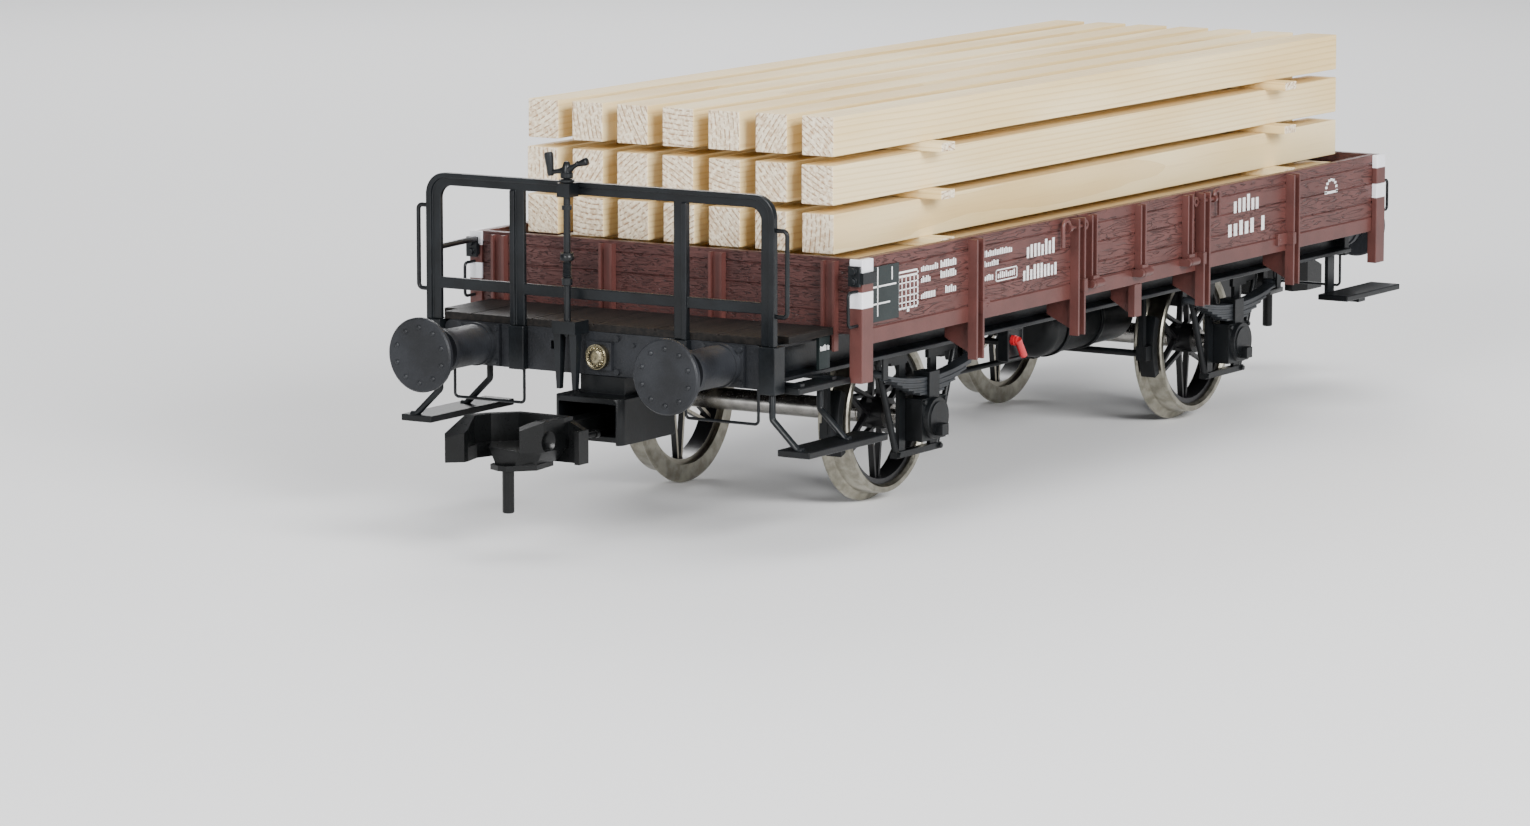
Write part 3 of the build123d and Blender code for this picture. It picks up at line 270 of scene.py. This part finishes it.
LOOKS = {
    frame_black: ("solebars", "cross_beams", "floor_bearers", "railing", "corner_brackets", "spindle_bearings",
                  "brake_spindle", "brake_crank", "wire_handles", "step_hangers"),
    cast_black: ("headstocks", "headstock_fittings", "buffer_housings", "buffer_head_front_left",
                 "buffer_head_front_right", "buffer_head_rear_left", "buffer_head_rear_right"),
    gear_black: ("axle_guards", "axle_boxes", "spring_fittings", "brake_shoes", "brake_rigging",
                 "air_tank", "changeover_box", "step_boards", "coupler_pockets"),
    spoked_centre: ("wheel_centres_front", "wheel_centres_rear"),
    claw_black: ("coupler_front", "coupler_rear", "uncoupling_pin_front", "uncoupling_pin_rear"),
    brown_plain: ("side_sills", "stanchions", "post_gussets", "hinge_lugs", "hinge_pins", "drop_side_straps_left",
                  "drop_side_straps_right", "latch_front_left", "latch_front_right", "latch_rear_left",
                  "latch_rear_right"),
    brown_sides: ("side_boards", "drop_side_left", "drop_side_right"),
    brown_ends_shaded: ("end_walls",),
    post_paint: ("corner_posts",),
    deck_wood: ("wagon_floor",),
    platform_wood: ("platform_deck",),
    leaf_black_highlit: ("spring_leaves",),
    nickel: ("tyres_front", "tyres_rear"),
    bright_steel: ("axle_front", "axle_rear"),
    brass_nickel: ("drawbar_screw",),
    red_paint: ("changeover_lever",),
    board_black: ("label_boards",),
}
SOFT_EDGES = {
    "headstocks": 0.25, "solebars": 0.15, "railing": 0.16, "step_boards": 0.2, "end_walls": 0.12,
    "side_boards": 0.10, "side_sills": 0.12, "drop_side_left": 0.10, "drop_side_right": 0.10,
    "corner_posts": 0.14, "stanchions": 0.12, "coupler_pockets": 0.3, "platform_deck": 0.1,
    "buffer_housings": 0.15, "axle_boxes": 0.25, "coupler_front": 0.2,
    "coupler_rear": 0.2, "corner_brackets": 0.1, "spindle_bearings": 0.2, "changeover_box": 0.15,
    "axle_guards": 0.1, "post_gussets": 0.12, "spring_leaves": 0.05, "air_tank": 0.1, "step_hangers": 0.08,
    "brake_shoes": 0.15,
}


def paint_frame():
    """Give every CAD node its look, and break the sharp edges of the machined-looking ones."""
    for look, names in LOOKS.items():
        for name in names:
            nodes[name].data.materials.clear()
            nodes[name].data.materials.append(look)
    for name, width in SOFT_EDGES.items():
        weld = nodes[name].modifiers.new("weld", "WELD")
        weld.merge_threshold = 0.002 * MM
        flat = nodes[name].modifiers.new("flat", "DECIMATE")
        flat.decimate_type = "DISSOLVE"
        flat.angle_limit = math.radians(1.0)
        edge = nodes[name].modifiers.new("edge", "BEVEL")
        edge.width = width * MM
        edge.segments = 2
        edge.limit_method = "ANGLE"
        edge.angle_limit = math.radians(38)
        edge.harden_normals = False


paint_frame()


# ---- mesh helpers ---------------------------------------------------------------------
def piece(name, mesh, look, body):
    """Turn a bmesh in millimetres into a piece that rides on a body."""
    bmesh.ops.scale(mesh, vec=(MM, MM, MM), verts=mesh.verts)
    bmesh.ops.recalc_face_normals(mesh, faces=mesh.faces)
    data = bpy.data.meshes.new(name)
    mesh.to_mesh(data)
    mesh.free()
    data.materials.append(look)
    made = bpy.data.objects.new(name, data)
    bpy.context.scene.collection.objects.link(made)
    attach(made, body)
    return made


def add_box(mesh, x, y, z):
    """Closed box between two values on each axis; returns its vertices."""
    size = Vector((x[1] - x[0], y[1] - y[0], z[1] - z[0]))
    centre = Vector((x[0] + x[1], y[0] + y[1], z[0] + z[1])) / 2
    matrix = Matrix.Translation(centre) @ Matrix.Diagonal((*size, 1.0))
    return bmesh.ops.create_cube(mesh, size=1.0, matrix=matrix)["verts"]


def span(name):
    """Lowest and highest corner of a CAD node in millimetres."""
    low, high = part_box(name)
    return low / MM, high / MM


# ---- timber load ----------------------------------------------------------------------
BEAM_WIDTH = 6.9
BEAM_HEIGHT = 7.4
COLUMNS = 7
LAYERS = 4
STRIP_WIDTH = 5.1
STRIP_THICKNESS = 1.7


def sawn_piece(name, x, y, z, look, rng):
    """One squared length of softwood with broken edges and its own growth rings."""
    mesh = bmesh.new()
    add_box(mesh, x, y, z)
    lengthwise = 0 if look is pine_wood else 1
    edges = [e for e in mesh.edges if abs(e.verts[0].co[lengthwise] - e.verts[1].co[lengthwise]) > 1]
    bmesh.ops.subdivide_edges(mesh, edges=edges, cuts=11, use_grid_fill=True)
    ends = (x, y)[lengthwise]
    for v in mesh.verts:
        if ends[0] + 1 < v.co[lengthwise] < ends[1] - 1:
            middle = Vector(((x[0] + x[1]) / 2, (y[0] + y[1]) / 2, (z[0] + z[1]) / 2))
            middle[lengthwise] = v.co[lengthwise]
            v.co = middle + (v.co - middle) * (1 - rng.uniform(0.0, 0.012))
    sharp = [e for e in mesh.edges if e.calc_face_angle(0) > math.radians(60)]
    bmesh.ops.bevel(mesh, geom=sharp, offset=0.2, segments=2, affect="EDGES", profile=0.6)
    made = piece(name, mesh, look, "load")
    turn = rng.uniform(0, 2 * math.pi)
    away = rng.uniform(14.0, 60.0)
    pith = Vector((away * math.cos(turn), away * math.cos(turn), away * math.sin(turn)))
    pith[lengthwise] = rng.uniform(-1000, 1000)
    centre = Vector(((x[0] + x[1]) / 2, (y[0] + y[1]) / 2, (z[0] + z[1]) / 2))
    centre[lengthwise] = 0.0
    layer = made.data.attributes.new("pith", "FLOAT_VECTOR", "POINT")
    for item in layer.data:
        item.vector = (pith - centre) * MM
    return made


def stack_timber():
    low, high = span("timber_beams")
    rng = random.Random(11)
    column_step = (high.y - low.y - BEAM_WIDTH) / (COLUMNS - 1)
    layer_step = (high.z - low.z - BEAM_HEIGHT) / (LAYERS - 1)
    for layer in range(LAYERS):
        for column in range(COLUMNS):
            y0 = low.y + column * column_step
            z0 = low.z + layer * layer_step
            x0 = low.x + rng.uniform(0.0, 0.5)
            x1 = high.x - rng.uniform(0.0, 0.5)
            name = "beam_%d_%d" % (layer + 1, column + 1)
            box = ((x0, x1), (y0, y0 + BEAM_WIDTH), (z0, z0 + BEAM_HEIGHT))
            sawn_piece(name, *box, pine_wood, rng)
    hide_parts("timber_beams")


def lay_strips():
    """Two cross strips under every layer of beams."""
    low, high = span("load_strips")
    rng = random.Random(23)
    layer_step = (high.z - low.z - STRIP_THICKNESS) / (LAYERS - 1)
    for layer in range(LAYERS):
        z0 = low.z + layer * layer_step
        for x0 in (low.x, high.x - STRIP_WIDTH):
            name = "strip_%d_%s" % (layer + 1, "front" if x0 == low.x else "rear")
            box = ((x0, x0 + STRIP_WIDTH), (low.y, high.y), (z0, z0 + STRIP_THICKNESS))
            sawn_piece(name, *box, strip_wood, rng)
    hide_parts("load_strips")


stack_timber()
lay_strips()


# ---- rivets and bolts -----------------------------------------------------------------
def add_dome(mesh, centre, axis, radius, height):
    """Rivet head: a low dome that stands on a surface."""
    turn = Vector((0, 0, 1)).rotation_difference(Vector(axis)).to_matrix().to_4x4()
    made = bmesh.ops.create_uvsphere(mesh, u_segments=12, v_segments=8, radius=1.0,
                                     matrix=Matrix.Translation(centre) @ turn
                                     @ Matrix.Diagonal((radius, radius, height, 1.0)))
    return made["verts"]


def add_turned(mesh, base, axis, profile, segments=20):
    """Turned solid: profile lists distance along the axis and radius there."""
    turn = Vector((0, 0, 1)).rotation_difference(Vector(axis)).to_matrix()
    rings = []
    for distance, radius in profile:
        ring = []
        for i in range(segments):
            angle = 2 * math.pi * i / segments
            local = Vector((radius * math.cos(angle), radius * math.sin(angle), distance))
            ring.append(mesh.verts.new(Vector(base) + turn @ local))
        rings.append(ring)
    for lower, upper in zip(rings, rings[1:]):
        for i in range(segments):
            j = (i + 1) % segments
            mesh.faces.new((lower[i], lower[j], upper[j], upper[i]))
    mesh.faces.new(reversed(rings[0]))
    mesh.faces.new(rings[-1])


def smooth(made):
    for polygon in made.data.polygons:
        polygon.use_smooth = True
    made.data.set_sharp_from_angle(angle=math.radians(40))


def buffer_rivets():
    """Ring of rivet heads on each buffer's face."""
    for end in ("front", "rear"):
        for side in ("left", "right"):
            low, high = span("buffer_head_%s_%s" % (end, side))
            out = -1 if end == "front" else 1
            face = low.x if out < 0 else high.x
            middle = (low + high) / 2
            mesh = bmesh.new()
            for i in range(10):
                angle = 2 * math.pi * (i + 0.5) / 10
                centre = (face, middle.y + 5.2 * math.cos(angle), middle.z + 5.2 * math.sin(angle))
                add_dome(mesh, centre, (out, 0, 0), 0.5, 0.28)
            made = piece("buffer_rivets_%s_%s" % (end, side), mesh, cast_black, "buffer_%s_%s" % (end, side))
            smooth(made)


STANCHION_OFFSETS = (-65.6, -26.0, 26.0, 65.6)
STANCHION_FACE = 44.9
THREAD_TURNS = 8
THREAD_PITCH = 0.38


def hand_crank():
    """Stepped hub with two arms: an upright grip on the left, a bulb grip on the right."""
    low, high = span("brake_spindle")
    x, y = (low.x + high.x) / 2, (low.y + high.y) / 2
    mesh = bmesh.new()
    add_turned(mesh, (x, y, 66.9), (0, 0, 1), (
        (0.0, 1.05), (0.15, 1.2), (0.9, 1.2), (1.05, 0.95), (2.0, 0.85), (2.9, 0.55), (3.1, 0.3)))
    left = Vector((0, 0.985, -0.17))
    add_turned(mesh, (x, y + 0.6, 68.3), left, ((0.0, 0.7), (0.9, 0.5), (2.4, 0.42), (3.1, 0.62), (3.5, 0.5)))
    add_turned(mesh, (x, y + 3.5, 67.1), (0, 0.12, 0.99), (
        (0.0, 0.45), (0.2, 0.6), (1.0, 0.66), (3.6, 0.86), (4.2, 0.84), (4.45, 0.6)))
    right = Vector((0, -0.86, 0.51))
    add_turned(mesh, (x, y - 0.5, 68.5), right, ((0.0, 0.75), (1.0, 0.5), (1.9, 0.42), (2.4, 0.6), (2.6, 0.5)))
    add_turned(mesh, (x, y - 2.5, 69.6), (0, -0.95, 0.31), (
        (0.0, 0.35), (0.2, 0.5), (0.8, 0.58), (1.6, 0.76), (2.1, 0.72), (2.3, 0.45)))
    made = piece("crank_turned", mesh, frame_black, "hand_brake")
    smooth(made)
    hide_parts("brake_crank")


def spindle_collars():
    """Turned rings and the threaded length on the brake spindle."""
    low, high = span("brake_spindle")
    x, y = (low.x + high.x) / 2, (low.y + high.y) / 2
    mesh = bmesh.new()
    add_turned(mesh, (x, y, 66.1), (0, 0, 1), ((0.0, 1.3), (0.12, 1.45), (0.5, 1.45), (0.62, 1.2)))
    add_turned(mesh, (x, y, 51.5), (0, 0, 1), (
        (0.0, 1.0), (0.1, 1.25), (0.6, 1.35), (1.1, 1.25), (1.5, 0.9)))
    thread = []
    for i in range(THREAD_TURNS):
        rise = i * THREAD_PITCH
        thread.append((rise, 0.72))
        thread.append((rise + THREAD_PITCH / 2, 0.86))
    add_turned(mesh, (x, y, 48.4), (0, 0, 1), thread)
    add_turned(mesh, (x, y, 46.9), (0, 0, 1), ((0.0, 0.8), (0.1, 1.0), (1.3, 1.0), (1.4, 0.8)))
    smooth(piece("spindle_collars", mesh, frame_black, "hand_brake"))


def screw_rosette():
    """Knurled cap on the drawbar screw: a stepped dome with a ring of beads."""
    low, high = span("drawbar_screw")
    middle = (low + high) / 2
    face = (low.x, middle.y, middle.z)
    mesh = bmesh.new()
    add_turned(mesh, (low.x + 0.8, middle.y, middle.z), (-1, 0, 0), (
        (0.0, 2.3), (0.7, 2.3), (0.95, 2.05), (0.8, 1.7), (1.15, 1.2), (1.25, 0.6), (1.1, 0.25)), 28)
    for count, radius, bead in ((14, 1.62, 0.27), (7, 0.85, 0.3)):
        for i in range(count):
            angle = 2 * math.pi * i / count
            centre = (face[0] - 0.1, face[1] + radius * math.cos(angle), face[2] + radius * math.sin(angle))
            add_dome(mesh, centre, (-1, 0, 0), bead, 0.3)
    smooth(piece("screw_rosette", mesh, brass_nickel, "chassis"))


def stanchion_clips():
    """Small riveted plates that hold each stanchion's flange to the side sill."""
    low, high = span("side_boards")
    middle = (low.x + high.x) / 2
    sill_face = span("side_sills")[1].y
    mesh = bmesh.new()
    for side in (-1, 1):
        for offset in STANCHION_OFFSETS:
            inward = 1 if offset < 0 else -1
            post = middle + offset
            reach = 5.9 if abs(offset) > 30 else 2.6
            plate = sorted((post + inward * 1.2, post + inward * reach))
            hook = sorted((post + inward * 0.6, post + inward * 1.9))
            add_box(mesh, plate, sorted((side * sill_face, side * (sill_face + 0.6))), (37.5, 39.9))
            add_box(mesh, hook, sorted((side * sill_face, side * STANCHION_FACE)), (37.5, 39.9))
            rivet = (post + inward * (reach - 0.9), side * (sill_face + 0.6), 38.7)
            add_dome(mesh, rivet, (0, side, 0), 0.35, 0.25)
    piece("stanchion_clips", mesh, brown_plain, "chassis")


buffer_rivets()
hand_crank()
spindle_collars()
screw_rosette()
stanchion_clips()


# ---- painted markings -----------------------------------------------------------------
INK = 0.06
SOLEBAR_PLATE_Y = 37.6


class Ink:
    """Flat marks on one side wall, drawn with x to the right and z up, in millimetres."""

    def __init__(self, side, face):
        self.mesh = bmesh.new()
        self.side = side
        self.face = face

    def bar(self, x0, x1, z0, z1):
        y = sorted((self.side * self.face, self.side * (self.face + INK)))
        add_box(self.mesh, (x0, x1), y, (z0, z1))

    def frame(self, x0, x1, z0, z1, line):
        self.bar(x0, x1, z0, z0 + line)
        self.bar(x0, x1, z1 - line, z1)
        self.bar(x0, x0 + line, z0, z1)
        self.bar(x1 - line, x1, z0, z1)

    def words(self, x0, x1, z0, z1, letters, rng):
        """A row of blocks that stands for lettering, with no readable text."""
        step = (x1 - x0) / letters
        for i in range(letters):
            drop = rng.choice((0.0, 0.16, 0.3)) * (z1 - z0)
            self.bar(x0 + i * step, x0 + (i + 0.58) * step, z0, z1 - drop)


def side_markings(side, name):
    low, high = span("side_boards")
    board_low, board_high = span("label_boards")
    wall = high.y
    rng = random.Random(5)
    ink = Ink(side, wall)
    x0 = low.x + 14.2
    ink.frame(x0, x0 + 7.4, 41.2, 48.4, 0.35)
    ink.bar(x0, x0 + 7.4, 47.2, 47.6)
    for i in range(1, 5):
        ink.bar(x0 + i * 1.48 - 0.1, x0 + i * 1.48 + 0.1, 41.2, 47.4)
    for i in range(1, 5):
        ink.bar(x0, x0 + 7.4, 41.2 + i * 1.24 - 0.1, 41.2 + i * 1.24 + 0.1)
    ink.bar(x0 + 3.3, x0 + 4.1, 40.6, 41.3)
    x0 = low.x + 22.7
    ink.words(x0, x0 + 6.4, 47.6, 48.8, 10, rng)
    ink.words(x0 + 7.2, x0 + 13.2, 47.6, 49.0, 9, rng)
    ink.words(x0, x0 + 3.6, 45.5, 46.7, 6, rng)
    ink.words(x0 + 7.2, x0 + 13.2, 45.6, 47.0, 9, rng)
    ink.words(x0, x0 + 5.4, 42.4, 43.6, 9, rng)
    ink.words(x0 + 9.0, x0 + 13.2, 42.6, 44.0, 6, rng)
    x0 = low.x + 45.6
    ink.words(x0, x0 + 11.6, 47.8, 49.0, 17, rng)
    ink.words(x0, x0 + 6.4, 45.9, 47.0, 9, rng)
    ink.words(x0 - 0.4, x0 + 4.4, 43.2, 44.4, 7, rng)
    ink.frame(x0 + 5.2, x0 + 13.4, 42.6, 44.9, 0.22)
    ink.words(x0 + 6.0, x0 + 12.8, 43.2, 44.4, 9, rng)
    x0 = low.x + 61.4
    ink.words(x0 + 1.4, x0 + 12.8, 45.9, 48.9, 8, rng)
    ink.words(x0, x0 + 13.6, 41.6, 44.4, 10, rng)
    x0 = low.x + 146.0
    ink.words(x0 + 2.4, x0 + 14.0, 46.1, 49.5, 6, rng)
    ink.words(x0, x0 + 12.2, 41.4, 44.4, 5, rng)
    ink.words(x0 + 14.6, x0 + 16.8, 41.4, 44.4, 1, rng)
    x0 = low.x + 189.4
    for i in range(9):
        angle = math.pi * i / 8
        centre_x = x0 + 2.9 - 2.5 * math.cos(angle)
        centre_z = 46.4 + 2.5 * math.sin(angle)
        ink.bar(centre_x - 0.45, centre_x + 0.45, centre_z - 0.25, centre_z + 0.25)
    ink.bar(x0, x0 + 5.8, 46.0, 46.5)
    piece("markings_" + name, ink.mesh, white_ink, "chassis")

    ink = Ink(side, board_high.y)
    ink.bar(low.x + 6.2, low.x + 6.5, 41.0, 50.2)
    ink.bar(low.x + 3.6, low.x + 13.0, 46.4, 46.7)
    ink.bar(low.x + 3.6, low.x + 10.8, 43.2, 43.5)
    ink.bar(low.x + 11.4, low.x + 11.7, 47.4, 49.8)
    piece("chalk_lines_" + name, ink.mesh, white_ink, "chassis")

    plate = span("label_boards")[0]
    ink = Ink(side, SOLEBAR_PLATE_Y)
    ink.words(plate.x + 0.4, plate.x + 2.6, 35.4, 36.5, 6, rng)
    ink.words(plate.x + 2.9, plate.x + 3.6, 35.4, 36.5, 2, rng)
    piece("plate_words_" + name, ink.mesh, white_ink, "chassis")


side_markings(-1, "right")
side_markings(1, "left")


# ---- camera, floor and light ----------------------------------------------------------
def look_at(obj, target):
    direction = Vector(target) - obj.location
    obj.rotation_euler = direction.to_track_quat("-Z", "Y").to_euler()


def area_light(name, place, target, size, power, tint=(1.0, 1.0, 1.0)):
    light = bpy.data.lights.new(name, "AREA")
    light.shape = "RECTANGLE"
    light.size, light.size_y = size
    light.energy = power
    light.color = tint
    holder = bpy.data.objects.new(name, light)
    bpy.context.scene.collection.objects.link(holder)
    holder.location = place
    look_at(holder, target)


def studio():
    camera_data = bpy.data.cameras.new("camera")
    camera_data.lens = 146.1
    camera_data.sensor_width = 36.0
    camera_data.clip_start = 0.05
    camera_data.clip_end = 20.0
    camera = bpy.data.objects.new("camera", camera_data)
    bpy.context.scene.collection.objects.link(camera)
    camera.location = (-1.0703, -0.6310, 0.1943)
    look_at(camera, (-0.0613, 0.0, 0.0157))
    bpy.context.scene.camera = camera

    mesh = bmesh.new()
    bmesh.ops.create_grid(mesh, x_segments=2, y_segments=2, size=6.0)
    data = bpy.data.meshes.new("floor")
    mesh.to_mesh(data)
    mesh.free()
    s = Shader("floor_white")
    s.finish(Base_Color=rgb(0.86, 0.86, 0.86), Roughness=0.8)
    data.materials.append(s.material)
    floor = bpy.data.objects.new("floor", data)
    bpy.context.scene.collection.objects.link(floor)

    world = bpy.data.worlds.new("studio")
    world.use_nodes = True
    world.node_tree.nodes["Background"].inputs["Color"].default_value = rgb(0.93, 0.95, 1.0)
    world.node_tree.nodes["Background"].inputs["Strength"].default_value = 0.36
    bpy.context.scene.world = world
    area_light("key", (-0.5, -1.2, 0.62), (0, 0, 0.03), (0.8, 0.5), 32.0)
    area_light("front", (-1.4, -0.1, 0.55), (-0.1, 0, 0.04), (0.6, 0.4), 17.0)
    area_light("top", (0.1, 0.1, 1.2), (0, 0, 0.03), (1.0, 0.8), 6.0)
    area_light("rim", (0.9, 0.7, 0.7), (0, 0, 0.03), (0.6, 0.4), 8.0)


studio()
